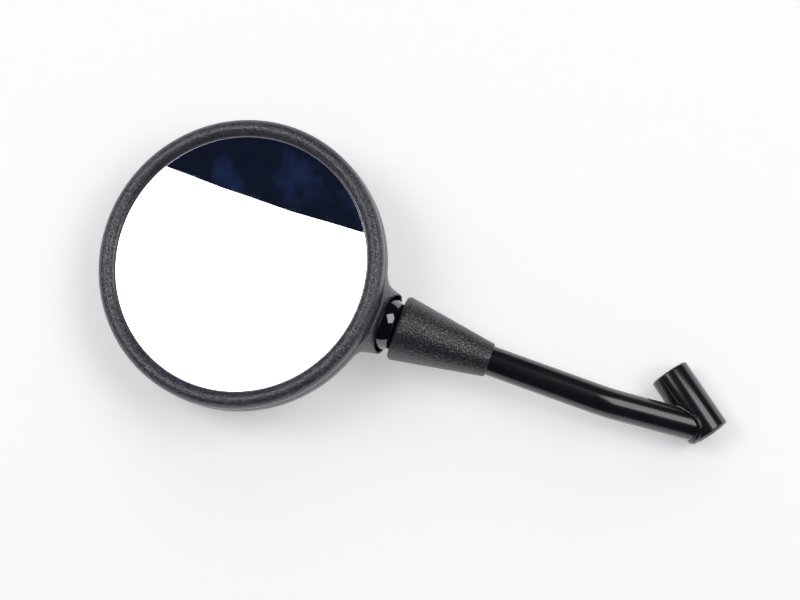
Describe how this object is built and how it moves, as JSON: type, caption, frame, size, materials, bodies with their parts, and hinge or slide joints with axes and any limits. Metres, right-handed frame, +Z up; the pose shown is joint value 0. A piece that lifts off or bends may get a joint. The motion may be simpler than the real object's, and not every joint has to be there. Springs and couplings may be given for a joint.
{
  "type": "bicycle mirror",
  "caption": "Round convex handlebar mirror in a black frame on a ball joint, with a bent tube arm welded to a short bolt sleeve.",
  "frame": {"origin": "under the middle of the bounding box, on the surface that the mirror lies on", "axes": "+Z up out of the surface, mirror face up; +X along the bore of the mounting sleeve, away from the mirror head"},
  "size_m": [0.1668, 0.1434, 0.0334],
  "materials": {
    "grained_plastic": "fine moulded grain, charcoal black",
    "cone_plastic": "coarse sparkling grain, matte black",
    "mirror_glass": "convex silvered glass",
    "foam_tape": "foam adhesive tape",
    "inner_plastic": "plain moulded plastic",
    "liner_plastic": "black acetal",
    "zinc_steel": "zinc plated",
    "gloss_paint": "gloss black powder coat"
  },
  "bodies": {
    "arm": {"mount_sleeve": "gloss_paint", "weld_bead": "gloss_paint", "arm_tube": "gloss_paint", "collar": "gloss_paint", "cone_cover": "cone_plastic", "tube_plug": "inner_plastic"},
    "ball": {"ball_stud": "gloss_paint", "spring_washer": "zinc_steel", "lock_nut": "zinc_steel"},
    "liner": {"ball_liner": "liner_plastic"},
    "head": {"rim": "grained_plastic", "mirror_glass": "mirror_glass", "glass_pad": "foam_tape", "carrier_plate": "inner_plastic", "rear_shell": "grained_plastic", "carrier_screw_1": "zinc_steel", "carrier_screw_2": "zinc_steel", "carrier_screw_3": "zinc_steel", "carrier_screw_4": "zinc_steel", "socket_cup": "inner_plastic", "disc_spring": "zinc_steel", "clamp_ring": "zinc_steel"}
  },
  "joints": [
    {"name": "head_spin", "type": "hinge", "parent": "arm", "child": "ball", "pos_m": [-0.00028, -0.0006, 0.01726], "axis": [0.802, 0.5969, -0.0236], "continuous": true},
    {"name": "head_nod", "type": "hinge", "parent": "ball", "child": "liner", "pos_m": [-0.00028, -0.0006, 0.01726], "axis": [-0.5949, 0.8016, 0.06], "range_deg": [-3, 26]},
    {"name": "head_yaw", "type": "hinge", "parent": "liner", "child": "head", "pos_m": [-0.00028, -0.0006, 0.01726], "axis": [-0.1178, -0.1608, 0.9799], "range_deg": [-6, 10]}
  ]
}
